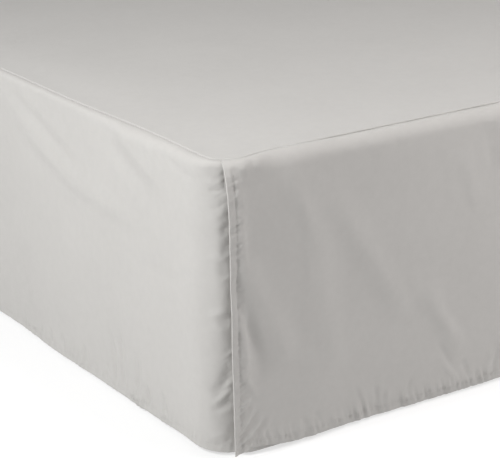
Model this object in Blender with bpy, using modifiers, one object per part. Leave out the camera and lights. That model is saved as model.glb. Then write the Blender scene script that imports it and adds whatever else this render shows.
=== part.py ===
"""A tailored bed skirt on a queen bed base. Metres, +Z up.

X runs across the bed and Y along it, with the foot end at -Y and the open head end at +Y.
The origin is on the floor, under the middle of the bed.
"""
from collections import namedtuple
from math import cos, exp, pi, sin, tau

import bmesh
import bpy
from mathutils import Matrix, Vector

# Driving dimensions of the skirt, in metres.
BED_WIDTH = 1.524
BED_LENGTH = 2.032
DECK_HEIGHT = 0.406
HEM_HEIGHT = 0.0046
CLOTH = 0.0012
HEM_CLOTH = 0.0022
HEM_WIDTH = 0.012
HEM_STEP = 0.002
SEAM_GAP = 0.0003
SEAM_LIP = 0.003
CORNER_RADIUS = 0.060
SPLIT_PLACE = 0.017
OVERLAP = 0.095
OVERLAP_LIFT_TOP = 0.0017
OVERLAP_LIFT_LOW = 0.0045
LIFT_FADE_START = 0.130
LIFT_FADE_END = 0.205
ROUND_REACH = 0.016
ROUND_FALL = 1.3
TUCK_START = 0.058
TUCK_END = 0.078
HEAD_SETBACK = 0.030

# Driving dimensions of the bed base, in metres.
SEAT_GAP = 0.0003
BOX_BOTTOM = 0.180
BOX_SIDE_INSET = 0.005
BOX_FOOT_INSET = 0.011
BOX_CORNER_RADIUS = 0.062
BOX_EDGE_RADIUS = 0.018
ANGLE_LEG = 0.038
ANGLE_WALL = 0.003
RAIL_INSET = 0.045
RAIL_END_INSET = 0.070
CROSS_WIDTH = 0.032
CROSS_DEPTH = 0.020
CROSS_PLACES = (-0.86, 0.0, 0.86)
LEG_RADIUS = 0.014
LEG_INSET = 0.100
GLIDE_RADIUS = 0.026
GLIDE_TOP_RADIUS = 0.021
GLIDE_HEIGHT = 0.020

# Worked out from the sizes above.
HALF_WIDTH = BED_WIDTH / 2
HALF_LENGTH = BED_LENGTH / 2
CLOTH_TOP = DECK_HEIGHT - CLOTH / 2
CORNER_ARC = CORNER_RADIUS * pi / 2
SIDE_LENGTH = BED_LENGTH - CORNER_RADIUS - HEAD_SETBACK
BOX_TOP = DECK_HEIGHT - CLOTH - SEAT_GAP

# The cloth bends over the top edge at these radii. "turn" is the distance along the outline past
# the start of a foot corner's arc, below 0 along the side.
Bend = namedtuple("Bend", "turn radius")

BENDS = (
    Bend(-0.340, 0.009),
    Bend(-0.110, 0.016),
    Bend(0.000, 0.014),
    Bend(0.044, 0.008),
    Bend(0.062, 0.009),
    Bend(0.140, 0.020),
)

# A soft fold runs along a line on a hanging drop. "along" is measured on the cloth, from where
# the side drop starts to turn (towards the head) or from the foot corner (across the foot).
# "down" is measured on the cloth from the seam. A positive height stands out of the drop.
Fold = namedtuple("Fold", "along_a down_a along_b down_b width height")

LEFT_FOLDS = (
    Fold(0.545, 0.020, 0.300, 0.120, 0.028, 0.0017),
    Fold(0.420, 0.015, 0.250, 0.080, 0.024, -0.0015),
    Fold(0.240, 0.010, 0.070, 0.088, 0.022, -0.0011),
    Fold(0.170, 0.015, 0.040, 0.085, 0.020, 0.0012),
    Fold(0.000, 0.088, -0.044, 0.084, 0.022, 0.0016),
    Fold(0.100, 0.160, -0.010, 0.185, 0.024, 0.0012),
    Fold(0.010, 0.170, -0.005, 0.390, 0.030, 0.0022),
    Fold(-0.048, 0.080, -0.048, 0.230, 0.014, 0.0016),
    Fold(-0.068, 0.080, -0.066, 0.230, 0.012, -0.0028),
    Fold(-0.068, 0.250, -0.068, 0.400, 0.018, -0.0044),
    Fold(-0.062, 0.330, -0.060, 0.400, 0.024, -0.0036),
    Fold(0.480, 0.230, 0.420, 0.390, 0.060, 0.0022),
    Fold(0.880, 0.040, 0.760, 0.300, 0.045, -0.0030),
    Fold(1.180, 0.060, 1.240, 0.390, 0.060, 0.0032),
    Fold(1.520, 0.030, 1.460, 0.390, 0.050, -0.0028),
    Fold(1.780, 0.080, 1.820, 0.390, 0.060, 0.0028),
)
RIGHT_FOLDS = (
    Fold(0.120, 0.015, 0.040, 0.090, 0.020, 0.0014),
    Fold(0.300, 0.020, 0.180, 0.110, 0.026, -0.0018),
    Fold(0.016, 0.150, 0.000, 0.380, 0.030, 0.0022),
    Fold(-0.032, 0.080, -0.030, 0.400, 0.013, 0.0026),
    Fold(-0.058, 0.120, -0.058, 0.400, 0.013, -0.0028),
    Fold(0.560, 0.040, 0.500, 0.390, 0.060, 0.0026),
    Fold(0.900, 0.060, 0.980, 0.360, 0.050, -0.0028),
    Fold(1.300, 0.030, 1.240, 0.390, 0.060, 0.0030),
    Fold(1.700, 0.080, 1.740, 0.390, 0.060, -0.0026),
)
FOOT_FOLDS = (
    Fold(0.018, 0.070, 0.020, 0.200, 0.036, 0.0026),
    Fold(0.044, 0.158, 0.098, 0.280, 0.016, 0.0034),
    Fold(0.031, 0.165, 0.060, 0.296, 0.013, -0.0026),
    Fold(0.112, 0.052, 0.152, 0.150, 0.021, 0.0026),
    Fold(0.156, 0.195, 0.178, 0.310, 0.022, 0.0022),
    Fold(0.190, 0.100, 0.290, 0.262, 0.022, 0.0031),
    Fold(0.342, 0.262, 0.386, 0.338, 0.016, 0.0028),
    Fold(0.396, 0.076, 0.412, 0.134, 0.015, 0.0022),
    Fold(0.452, 0.160, 0.470, 0.350, 0.040, 0.0020),
    Fold(0.640, 0.060, 0.600, 0.390, 0.055, -0.0026),
    Fold(0.860, 0.040, 0.900, 0.390, 0.060, 0.0030),
    Fold(1.120, 0.060, 1.090, 0.390, 0.050, -0.0026),
    Fold(1.330, 0.090, 1.420, 0.300, 0.035, 0.0022),
)

# The hem rises or dips gently: "along" as above, "reach" the half width of the rise.
HemRise = namedtuple("HemRise", "along reach rise")

LEFT_RISES = (
    HemRise(-0.055, 0.030, -0.0014),
    HemRise(0.020, 0.080, 0.0022),
    HemRise(0.300, 0.090, 0.0006),
    HemRise(0.900, 0.200, -0.0009),
    HemRise(1.450, 0.220, 0.0015),
)
RIGHT_RISES = (
    HemRise(-0.055, 0.030, 0.0030),
    HemRise(0.600, 0.180, 0.0014),
    HemRise(1.200, 0.220, -0.0009),
)
FOOT_RISES = (
    HemRise(0.050, 0.036, 0.0084),
    HemRise(0.140, 0.060, 0.0006),
    HemRise(0.300, 0.140, -0.0010),
    HemRise(0.800, 0.180, 0.0014),
    HemRise(BED_WIDTH - 0.034, 0.020, 0.0038),
)

# The drops sway in and out along their length, more at the hem than at the seam.
Sway = namedtuple("Sway", "wave phase size")

SIDE_SWAYS = (Sway(0.83, 0.4, 0.0018), Sway(0.39, 2.1, 0.0011))
FOOT_SWAYS = (Sway(0.71, 1.2, 0.0016), Sway(0.33, 0.2, 0.0010))

# Spacing of the cloth's columns: from the last end to this one, at this step.
Span = namedtuple("Span", "end step")

SIDE_SPANS = (
    Span(-0.078, 0.016),
    Span(-0.012, 0.009),
    Span(0.060, 0.018),
    Span(0.340, 0.028),
    Span(0.700, 0.045),
    Span(1.900, 0.100),
)
FOOT_SPANS = (
    Span(0.110, 0.010),
    Span(0.230, 0.017),
    Span(0.470, 0.024),
    Span(1.300, 0.092),
    Span(1.440, 0.035),
)

# Heights of a drop's rows, as profile() reads them, above the step of its hem.
UPPER_ROWS = (-1.0, 0.0, 0.33, 0.67, 1.0, 1.08, 1.18, 1.30, 1.44, 1.58, 1.72, 1.85)


def smooth(low, high, value):
    """Rise from 0 at low to 1 at high, with level ends."""
    part = min(max((value - low) / (high - low), 0.0), 1.0)
    return part * part * (3 - 2 * part)


def stations(start, spans, finish):
    """Column places from start to finish, spaced as the spans say."""
    places = [start]
    for span in spans + (Span(finish, spans[-1].step),):
        length = span.end - places[-1]
        steps = max(1, round(length / span.step))
        first = places[-1]
        places += [first + length * step / steps for step in range(1, steps + 1)]
    return places


def outline(turn):
    """Plan point and outward normal of the left foot corner's outline, from its sharp corner.

    turn is the distance past the start of the corner's arc, below 0 on the side wall.
    """
    if turn < 0:
        return Vector((0, CORNER_RADIUS - turn)), Vector((-1, 0))
    if turn > CORNER_ARC:
        return Vector((CORNER_RADIUS + turn - CORNER_ARC, 0)), Vector((0, -1))
    angle = turn / CORNER_RADIUS
    normal = Vector((-cos(angle), -sin(angle)))
    return Vector((CORNER_RADIUS, CORNER_RADIUS)) + normal * CORNER_RADIUS, normal


def edge_radius(turn):
    """Radius of the cloth's bend over the top edge."""
    radius = BENDS[0].radius
    for low, high in zip(BENDS[:-1], BENDS[1:]):
        radius += (high.radius - low.radius) * smooth(low.turn, high.turn, turn)
    return radius


def profile(row, radius):
    """Inset from the wall, height and distance down the cloth, for a row of a drop.

    Row -1 is the seam, on a flat lip. Rows 0 to 1 go round the top edge, and rows 1 to 2 hang
    straight to the hem.
    """
    if row < 0:
        return radius - SEAM_LIP * row, CLOTH_TOP, SEAM_LIP * (1 + row)
    if row <= 1:
        angle = row * pi / 2
        height = CLOTH_TOP - radius * (1 - cos(angle))
        return radius * (1 - sin(angle)), height, SEAM_LIP + radius * angle
    hang = (CLOTH_TOP - radius - HEM_HEIGHT) * (row - 1)
    return 0.0, CLOTH_TOP - radius - hang, SEAM_LIP + radius * pi / 2 + hang


def drop_rows():
    """Rows from the seam to the hem, with a step where the hem's fold starts."""
    hang = CLOTH_TOP - BENDS[-1].radius - HEM_HEIGHT
    return list(UPPER_ROWS) + [2 - (HEM_WIDTH + HEM_STEP) / hang, 2 - HEM_WIDTH / hang, 2.0]


def fold_height(folds, along, down):
    """How far the folds push a place of a drop outwards."""
    total = 0.0
    for fold in folds:
        run = Vector((fold.along_b - fold.along_a, fold.down_b - fold.down_a))
        here = Vector((along - fold.along_a, down - fold.down_a))
        part = min(max(here.dot(run) / run.length_squared, 0.0), 1.0)
        distance = (here - run * part).length
        total += fold.height * exp(-(distance / fold.width) ** 2)
    return total * smooth(0.0, 0.03, down)


def sway_depth(sways, along, down):
    """How far a drop sways outwards."""
    total = sum(sway.size * sin(tau * along / sway.wave + sway.phase) for sway in sways)
    return total * smooth(0.02, 0.30, down)


def hem_rise(rises, along, down):
    """How far the hem lifts, fading upwards."""
    total = sum(rise.rise * exp(-((along - rise.along) / rise.reach) ** 2) for rise in rises)
    return total * smooth(0.25, 0.40, down)


def side_point(folds, rises, along, row):
    """A point of the left side drop, whose foot end turns round the corner."""
    turn = -along
    place, normal = outline(turn)
    inset, height, down = profile(row, edge_radius(turn))
    free = 1 - smooth(TUCK_START, TUCK_END, turn)
    depth = (fold_height(folds, along, down) + sway_depth(SIDE_SWAYS, along, down)) * free
    place = place + normal * (depth - inset)
    return Vector((place.x - HALF_WIDTH, place.y - HALF_LENGTH, height + hem_rise(rises, along, down)))


def foot_point(folds, rises, along, row):
    """A point of the foot drop. Its top follows the round corner, and lower down it hangs flat."""
    mirrored = along > HALF_WIDTH
    corner = BED_WIDTH - along if mirrored else along
    turn = corner + CORNER_ARC - CORNER_RADIUS
    inset, height, down = profile(row, edge_radius(turn))
    round_place, round_normal = outline(turn)
    rounding = exp(-(down / ROUND_REACH) ** ROUND_FALL)
    place = Vector((corner, 0)).lerp(round_place, rounding)
    normal = Vector((0, -1)).lerp(round_normal, rounding).normalized()
    lift = OVERLAP_LIFT_TOP + (OVERLAP_LIFT_LOW - OVERLAP_LIFT_TOP) * smooth(0.0, 0.08, down)
    lift *= 1 - smooth(LIFT_FADE_START, LIFT_FADE_END, corner)
    depth = lift + fold_height(folds, along, down)
    depth += sway_depth(FOOT_SWAYS, along, down) * smooth(0.10, 0.25, corner)
    place = place + normal * (depth - inset)
    height += lift * cos(min(max(row, 0.0), 1.0) * pi / 2)
    across = HALF_WIDTH - place.x if mirrored else place.x - HALF_WIDTH
    return Vector((across, place.y - HALF_LENGTH, height + hem_rise(rises, along, down)))


def material(name, colour, roughness, metallic=0.0):
    """A plain Principled material."""
    made = bpy.data.materials.new(name)
    made.use_nodes = True
    shader = made.node_tree.nodes["Principled BSDF"]
    shader.inputs["Base Color"].default_value = (*colour, 1)
    shader.inputs["Roughness"].default_value = roughness
    shader.inputs["Metallic"].default_value = metallic
    return made


def add_object(collection, name, data, made_of):
    """Link a new object of this data, with its material, and return it."""
    placed = bpy.data.objects.new(name, data)
    data.materials.append(made_of)
    collection.objects.link(placed)
    return placed


def mesh_from(build, name):
    """A new mesh from a bmesh, which is freed."""
    mesh = bpy.data.meshes.new(name)
    bmesh.ops.recalc_face_normals(build, faces=build.faces)
    build.to_mesh(mesh)
    build.free()
    mesh.shade_smooth()
    return mesh


def add_drop(collection, name, columns, place_point, made_of, hem_ends):
    """A hanging drop: a grid hung over the edge, with thicker cloth in its folded hems."""
    rows = drop_rows()
    build = bmesh.new()
    bmesh.ops.create_grid(build, x_segments=len(columns) - 1, y_segments=len(rows) - 1, size=0.5)
    thick = []
    for vertex in build.verts:
        column = round((vertex.co.x + 0.5) * (len(columns) - 1))
        row = round((0.5 - vertex.co.y) * (len(rows) - 1))
        vertex.co = place_point(columns[column], rows[row])
        in_hem = row >= len(rows) - 2
        at_start = "start" in hem_ends and columns[column] <= columns[0] + HEM_WIDTH
        at_finish = "finish" in hem_ends and columns[column] >= columns[-1] - HEM_WIDTH
        if in_hem or (rows[row] >= 1 and (at_start or at_finish)):
            thick.append(vertex.index)
    build.verts.index_update()
    drop = add_object(collection, name, mesh_from(build, name), made_of)
    hem = drop.vertex_groups.new(name="hem")
    hem.add(thick, 1.0, "REPLACE")
    shell = drop.modifiers.new("cloth", "SOLIDIFY")
    shell.thickness = HEM_CLOTH
    shell.offset = 0
    shell.use_even_offset = True
    shell.vertex_group = "hem"
    shell.thickness_vertex_group = CLOTH / HEM_CLOTH
    return drop


def hemmed(places, at_start, at_finish):
    """Add the columns where a hem's folded edge ends."""
    extra = []
    if at_start:
        extra += [places[0] + HEM_WIDTH, places[0] + HEM_WIDTH + HEM_STEP]
    if at_finish:
        extra += [places[-1] - HEM_WIDTH, places[-1] - HEM_WIDTH - HEM_STEP]
    near = HEM_STEP * 2
    kept = [place for place in places if all(abs(place - other) > near for other in extra)]
    return sorted(kept + extra)


def side_columns():
    """Places along a side drop, from its hidden end behind the foot drop to the head."""
    start = CORNER_RADIUS - CORNER_ARC - OVERLAP
    return hemmed(stations(start, SIDE_SPANS, SIDE_LENGTH), True, True)


def foot_columns():
    """Places across the foot drop, from one upright edge to the other."""
    return hemmed(stations(SPLIT_PLACE, FOOT_SPANS, BED_WIDTH - SPLIT_PLACE), True, True)


def add_side_drops(collection, made_of):
    """The two long drops. Each turns round its foot corner and ends behind the foot drop."""
    columns = side_columns()

    def left(along, row):
        return side_point(LEFT_FOLDS, LEFT_RISES, along, row)

    def right(along, row):
        point = side_point(RIGHT_FOLDS, RIGHT_RISES, along, row)
        return Vector((-point.x, point.y, point.z))

    add_drop(collection, "side_drop_left", columns, left, made_of, ("start", "finish"))
    add_drop(collection, "side_drop_right", columns, right, made_of, ("start", "finish"))


def add_foot_drop(collection, made_of):
    """The foot drop, whose hemmed upright edges lie over the ends of the side drops."""
    columns = foot_columns()

    def foot(along, row):
        return foot_point(FOOT_FOLDS, FOOT_RISES, along, row)

    add_drop(collection, "foot_drop", columns, foot, made_of, ("start", "finish"))


def add_platform(collection, made_of):
    """The flat sheet under the mattress, cut to the line of the seam, point for point."""
    turns = [-along for along in reversed(side_columns())]
    past_overlap = [along for along in foot_columns() if OVERLAP < along < HALF_WIDTH]
    turns += [along + CORNER_ARC - CORNER_RADIUS for along in past_overlap]
    left = []
    for turn in turns:
        place, normal = outline(turn)
        place = place - normal * (edge_radius(turn) + SEAM_LIP + SEAM_GAP)
        left.append(Vector((place.x - HALF_WIDTH, place.y - HALF_LENGTH)))
    right = [Vector((-place.x, place.y)) for place in reversed(left)]
    build = bmesh.new()
    low = DECK_HEIGHT - CLOTH
    build.faces.new([build.verts.new((place.x, place.y, low)) for place in left + right])
    sheet = add_object(collection, "platform", mesh_from(build, "platform"), made_of)
    shell = sheet.modifiers.new("cloth", "SOLIDIFY")
    shell.thickness = CLOTH
    shell.offset = 1
    return sheet


def block(size, centre):
    """A bmesh box of this size at this centre."""
    build = bmesh.new()
    matrix = Matrix.Translation(centre) @ Matrix.Diagonal((*size, 1))
    bmesh.ops.create_cube(build, size=1, matrix=matrix)
    return build


def add_box_spring(collection, made_of):
    """The upholstered base: a box with round upright corners and eased edges."""
    low_y = BOX_FOOT_INSET - HALF_LENGTH
    size = (BED_WIDTH - 2 * BOX_SIDE_INSET, HALF_LENGTH - low_y, BOX_TOP - BOX_BOTTOM)
    centre = (0, (HALF_LENGTH + low_y) / 2, (BOX_TOP + BOX_BOTTOM) / 2)
    build = block(size, centre)
    upright = [edge for edge in build.edges if abs(edge.verts[0].co.z - edge.verts[1].co.z) > 0.1]
    bmesh.ops.bevel(build, geom=upright, offset=BOX_CORNER_RADIUS, segments=6, profile=0.5,
                    affect="EDGES")
    base = add_object(collection, "box_spring", mesh_from(build, "box_spring"), made_of)
    edges = base.modifiers.new("eased_edges", "BEVEL")
    edges.width = BOX_EDGE_RADIUS
    edges.segments = 3
    edges.limit_method = "ANGLE"
    edges.angle_limit = 1.0
    return base


def add_side_rails(collection, made_of):
    """Steel angles under the box's long sides, with one flange flat and one hanging."""
    top = BOX_BOTTOM - SEAT_GAP
    outer = HALF_WIDTH - RAIL_INSET
    near_end = RAIL_END_INSET - HALF_LENGTH
    section = ((0, 0), (ANGLE_LEG, 0), (ANGLE_LEG, -ANGLE_WALL), (ANGLE_WALL, -ANGLE_WALL),
               (ANGLE_WALL, -ANGLE_LEG), (0, -ANGLE_LEG))
    for side, name in ((-1, "side_rail_left"), (1, "side_rail_right")):
        build = bmesh.new()
        points = [(side * (outer - inward), near_end, top + height) for inward, height in section]
        face = build.faces.new([build.verts.new(point) for point in points])
        grown = bmesh.ops.extrude_face_region(build, geom=[face])
        moved = [item for item in grown["geom"] if isinstance(item, bmesh.types.BMVert)]
        bmesh.ops.translate(build, verts=moved, vec=(0, BED_LENGTH - 2 * RAIL_END_INSET, 0))
        add_object(collection, name, mesh_from(build, name), made_of)


def add_cross_rails(collection, made_of):
    """Flat tubes across the frame, between the side rails' hanging flanges."""
    top = BOX_BOTTOM - 2 * SEAT_GAP - ANGLE_WALL
    length = BED_WIDTH - 2 * (RAIL_INSET + ANGLE_WALL + SEAT_GAP)
    for number, place in enumerate(CROSS_PLACES, start=1):
        name = f"cross_rail_{number}"
        build = block((length, CROSS_WIDTH, CROSS_DEPTH), (0, place, top - CROSS_DEPTH / 2))
        rail = add_object(collection, name, mesh_from(build, name), made_of)
        edges = rail.modifiers.new("eased_edges", "BEVEL")
        edges.width = 0.003
        edges.segments = 2


def turned(low_radius, high_radius, low, high):
    """A bmesh cone or cylinder between two heights."""
    build = bmesh.new()
    matrix = Matrix.Translation((0, 0, (low + high) / 2))
    bmesh.ops.create_cone(build, cap_ends=True, segments=16, radius1=low_radius, radius2=high_radius,
                          depth=high - low, matrix=matrix)
    return build


def add_legs(collection, steel, plastic):
    """A round leg under each end of each cross rail, on a flat plastic glide."""
    leg_top = BOX_BOTTOM - 3 * SEAT_GAP - ANGLE_WALL - CROSS_DEPTH
    for number, place in enumerate(CROSS_PLACES, start=1):
        for side, label in ((-1, "left"), (1, "right")):
            spot = (side * (HALF_WIDTH - LEG_INSET), place, 0)
            leg_name = f"leg_{label}_{number}"
            build = turned(LEG_RADIUS, LEG_RADIUS, GLIDE_HEIGHT + SEAT_GAP, leg_top)
            leg = add_object(collection, leg_name, mesh_from(build, leg_name), steel)
            leg.location = spot
            glide_name = f"glide_{label}_{number}"
            build = turned(GLIDE_RADIUS, GLIDE_TOP_RADIUS, 0, GLIDE_HEIGHT)
            glide = add_object(collection, glide_name, mesh_from(build, glide_name), plastic)
            glide.location = spot


def main():
    for old in list(bpy.data.objects):
        bpy.data.objects.remove(old, do_unlink=True)
    collection = bpy.data.collections.new("bed_skirt_on_bed_base")
    bpy.context.scene.collection.children.link(collection)
    skirt_cloth = material("skirt_cloth", (0.60, 0.58, 0.55), 0.80)
    ticking = material("ticking", (0.80, 0.80, 0.78), 0.90)
    steel = material("painted_steel", (0.06, 0.06, 0.065), 0.45, 0.3)
    plastic = material("glide_plastic", (0.03, 0.03, 0.03), 0.60)
    add_platform(collection, skirt_cloth)
    add_side_drops(collection, skirt_cloth)
    add_foot_drop(collection, skirt_cloth)
    add_box_spring(collection, ticking)
    add_side_rails(collection, steel)
    add_cross_rails(collection, steel)
    add_legs(collection, steel, plastic)


main()
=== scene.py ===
"""The looks of a tailored bed skirt on a queen bed base. Metres, +Z up.

Each hanging drop is a thin shell on a grid of places "along" its cloth and "down" from its seam,
as in the solids. Soft folds, drawn creases and the gathers of its stitching push it in and out.
"""
from collections import namedtuple
from math import cos, pi, radians, sin, tau

import bmesh
import bpy
import numpy as np
from mathutils import Matrix, Vector


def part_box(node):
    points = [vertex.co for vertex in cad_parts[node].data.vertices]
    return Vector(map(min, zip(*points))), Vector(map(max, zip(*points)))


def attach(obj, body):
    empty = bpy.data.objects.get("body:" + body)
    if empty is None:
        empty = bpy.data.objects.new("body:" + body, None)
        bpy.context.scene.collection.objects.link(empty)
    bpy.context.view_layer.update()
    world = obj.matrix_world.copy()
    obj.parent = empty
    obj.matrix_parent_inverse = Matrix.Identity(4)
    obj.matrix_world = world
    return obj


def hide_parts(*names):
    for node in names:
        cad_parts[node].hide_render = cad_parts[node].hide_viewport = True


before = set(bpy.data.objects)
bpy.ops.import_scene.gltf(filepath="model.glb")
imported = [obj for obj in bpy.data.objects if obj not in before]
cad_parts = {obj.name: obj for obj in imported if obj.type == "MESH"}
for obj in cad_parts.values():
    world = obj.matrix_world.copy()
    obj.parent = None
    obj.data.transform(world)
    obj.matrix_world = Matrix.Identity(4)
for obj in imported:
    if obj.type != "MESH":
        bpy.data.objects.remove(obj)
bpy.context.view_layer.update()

# Sizes of the skirt that its solids share, in metres. The foot drop's ends lie SPLIT_PLACE from
# the sharp corners. It covers the sides' ends by OVERLAP and stands off them by OVERLAP_LIFT. Its
# top is round at the corners, down to about ROUND_REACH. The sides go in behind it at TUCK_START.
BOX_SIDE_INSET = 0.005
BOX_FOOT_INSET = 0.011
HALF_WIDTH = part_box("box_spring")[1][0] + BOX_SIDE_INSET
HALF_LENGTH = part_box("box_spring")[1][1]
BED_WIDTH = 2 * HALF_WIDTH
BED_LENGTH = 2 * HALF_LENGTH
DECK_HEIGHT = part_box("platform")[1][2]
BOX_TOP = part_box("box_spring")[1][2]
BOX_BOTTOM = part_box("box_spring")[0][2]
HEM_HEIGHT = 0.0046
CLOTH = 0.0012
SEAM_GAP = 0.0003
SEAM_LIP = 0.003
CORNER_RADIUS = 0.060
SPLIT_PLACE = 0.017
OVERLAP = 0.095
OVERLAP_LIFT_TOP = 0.0017
OVERLAP_LIFT_LOW = 0.0045
LIFT_FADE = (0.130, 0.205)
ROUND_REACH = 0.016
ROUND_FALL = 1.3
TUCK_START = 0.058
TUCK_END = 0.078
HEAD_SETBACK = 0.030
CLOTH_TOP = DECK_HEIGHT - CLOTH / 2
CORNER_ARC = CORNER_RADIUS * pi / 2
SIDE_START = CORNER_RADIUS - CORNER_ARC - OVERLAP
SIDE_LENGTH = BED_LENGTH - CORNER_RADIUS - HEAD_SETBACK


def table(kind, values):
    """Named rows from their values."""
    return tuple(kind(*row) for row in values)


# The cloth bends over the top edge at these radii. "turn" is the distance along the outline past
# the start of a foot corner's arc, below 0 along the side.
Bend = namedtuple("Bend", "turn radius")

BENDS = table(Bend, (
    (-0.340, 0.009),
    (-0.110, 0.016),
    (0.000, 0.014),
    (0.044, 0.008),
    (0.062, 0.009),
    (0.140, 0.020),
))
SIDE_EDGE_RADIUS = BENDS[0].radius
FOOT_EDGE_RADIUS = BENDS[-1].radius

# The platform's sheet ends at the drops' seams.
SHEET_SIDE_INSET = SIDE_EDGE_RADIUS + SEAM_LIP + SEAM_GAP
SHEET_FOOT_INSET = FOOT_EDGE_RADIUS + SEAM_LIP + SEAM_GAP
SHEET_HALF = HALF_WIDTH - SHEET_SIDE_INSET

# Sizes of the sewing. The foot's upright hems lean out low down by HEM_LEAN, and every upright
# hem puffs out beside its stitches by PUFF. A cloth's very edge keeps EDGE_LEFT of its thickness.
# The lip is a drop's top edge, which lies a little below the platform's.
CLOTH_THICK = 0.0009
HEM_THICK = 0.0017
HEM_WIDTH = 0.0118
STITCH_LINE = 0.0106
HEM_STEP = 0.0015
STITCH_GROOVE = 0.0014
GROOVE_REACH = 0.0017
HEM_GROOVE = 0.12
HEM_GROOVE_REACH = 0.0016
EDGE_ROLL = 0.0008
EDGE_LEFT = 0.15
HEM_LEAN = 0.0018
PUFF = 0.0010
PUFF_PLACE = 0.0085
PUFF_REACH = 0.0065
PLAIN_GATHER = 0.45
SEAM_ROLL = 0.0015
LIP_ROLL = 0.0010
LIP_DROP_SIDE = 0.0010
LIP_DROP_FOOT = 0.0018
LIP_REACH = 0.010
LIP_ROWS = (-1, -0.94, -0.82, -0.65, -0.45, -0.2)
RIPPLE_SIZE = 0.00030
RIPPLE_WAVE = 0.045
UPRIGHT_END_REACH = 0.070
UPRIGHT_TOP = 0.022

# A stitch is a spindle of thread: its rings' places along its half length, and their sizes.
STITCH_PITCH = 0.0032
STITCH_HALF = STITCH_PITCH * 0.40
STITCH_RISE = 0.00012
STITCH_SIDES = 5
STITCH_RINGS = ((-0.8, 0.75), (0.0, 1.0), (0.8, 0.75))
THREAD_RADIUS = 0.00022

# Distances down the cloth between which an effect grows from nothing to its full size.
FOLD_GROWTH = (0.0, 0.03)
SWAY_GROWTH = (0.02, 0.30)
RISE_GROWTH = (0.25, 0.40)
RIPPLE_GROWTH = (0.02, 0.08)
UPRIGHT_GROWTH = (0.010, 0.040)
PINCH_GROWTH = (0.010, 0.030)
PULL_GROWTH = (0.012, 0.034)
LIFT_GROWTH = (0.0, 0.08)
LEAN_GROWTH = (0.16, 0.30)

# A strength changes by this much between two distances down the cloth.
Change = namedtuple("Change", "start end more")

PUFF_CHANGES = (Change(0.05, 0.11, 1.2), Change(0.26, 0.33, -1.6))
PINCH_CHANGES = (Change(0.08, 0.14, -0.5), Change(0.20, 0.26, 0.3), Change(0.32, 0.36, -0.6))
PULL_CHANGES = (Change(0.24, 0.32, -0.75),)

# Puckers beside a line of stitches. "seed" is added to the drop's own. "below" is their reach
# towards the cloth's edge and "above" away from it. "slant" leans them along the line.
Puckers = namedtuple("Puckers", "seed wave size below above slant")

SEAM_PUCKERS = Puckers(0, 0.0080, 0.00035, 0.014, 0.014, 0.0)
HEM_PUCKERS = Puckers(10, 0.0052, 0.0036, 0.012, 0.011, 0.25)
HEM_CRIMPS = Puckers(13, 0.0034, 0.0014, 0.008, 0.008, -0.20)
UPRIGHT_PUCKERS = Puckers(20, 0.0056, 0.0014, 0.009, 0.012, 0.35)
TUCK_PUCKERS = Puckers(40, 0.0070, 0.0008, 0.016, 0.016, 0.70)
PLATFORM_PUCKERS = Puckers(0, 0.0110, 0.00030, 0.013, 0.013, 0.0)

# Small uneven relief beside a line of stitches, strongest this far from it.
Mottling = namedtuple("Mottling", "seed wave size place reach")

UPRIGHT_MOTTLING = Mottling(24, 0.0042, 0.0008, 0.004, 0.013)
TUCK_MOTTLING = Mottling(43, 0.0065, 0.0006, 0.0, 0.014)

# Random values lie on this many knots, in a ring that place 0 enters at the start knot.
LINE_KNOTS, LINE_START = 997, 400
GRID_KNOTS, GRID_START = 61, 20

# A soft fold runs along a line on a hanging drop. "along" is measured on the cloth, from where
# the side drop starts to turn (towards the head) or from the foot corner (across the foot).
# "down" is measured on the cloth from the seam. A positive height stands out of the drop.
Fold = namedtuple("Fold", "along_a down_a along_b down_b width height")

LEFT_FOLDS = table(Fold, (
    (0.545, 0.020, 0.300, 0.120, 0.028, 0.0017),
    (0.420, 0.015, 0.250, 0.080, 0.024, -0.0015),
    (0.240, 0.010, 0.070, 0.088, 0.022, -0.0011),
    (0.170, 0.015, 0.040, 0.085, 0.020, 0.0012),
    (0.000, 0.088, -0.044, 0.084, 0.022, 0.0016),
    (0.100, 0.160, -0.010, 0.185, 0.024, 0.0012),
    (0.010, 0.170, -0.005, 0.390, 0.030, 0.0022),
    (-0.048, 0.080, -0.048, 0.230, 0.014, 0.0016),
    (-0.068, 0.080, -0.066, 0.230, 0.012, -0.0028),
    (-0.068, 0.250, -0.068, 0.400, 0.018, -0.0044),
    (-0.062, 0.330, -0.060, 0.400, 0.024, -0.0036),
    (0.480, 0.230, 0.420, 0.390, 0.060, 0.0022),
    (0.880, 0.040, 0.760, 0.300, 0.045, -0.0030),
    (1.180, 0.060, 1.240, 0.390, 0.060, 0.0032),
    (1.520, 0.030, 1.460, 0.390, 0.050, -0.0028),
    (1.780, 0.080, 1.820, 0.390, 0.060, 0.0028),
))
RIGHT_FOLDS = table(Fold, (
    (0.120, 0.015, 0.040, 0.090, 0.020, 0.0014),
    (0.300, 0.020, 0.180, 0.110, 0.026, -0.0018),
    (0.016, 0.150, 0.000, 0.380, 0.030, 0.0022),
    (-0.032, 0.080, -0.030, 0.400, 0.013, 0.0026),
    (-0.058, 0.120, -0.058, 0.400, 0.013, -0.0028),
    (0.560, 0.040, 0.500, 0.390, 0.060, 0.0026),
    (0.900, 0.060, 0.980, 0.360, 0.050, -0.0028),
    (1.300, 0.030, 1.240, 0.390, 0.060, 0.0030),
    (1.700, 0.080, 1.740, 0.390, 0.060, -0.0026),
))
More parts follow.
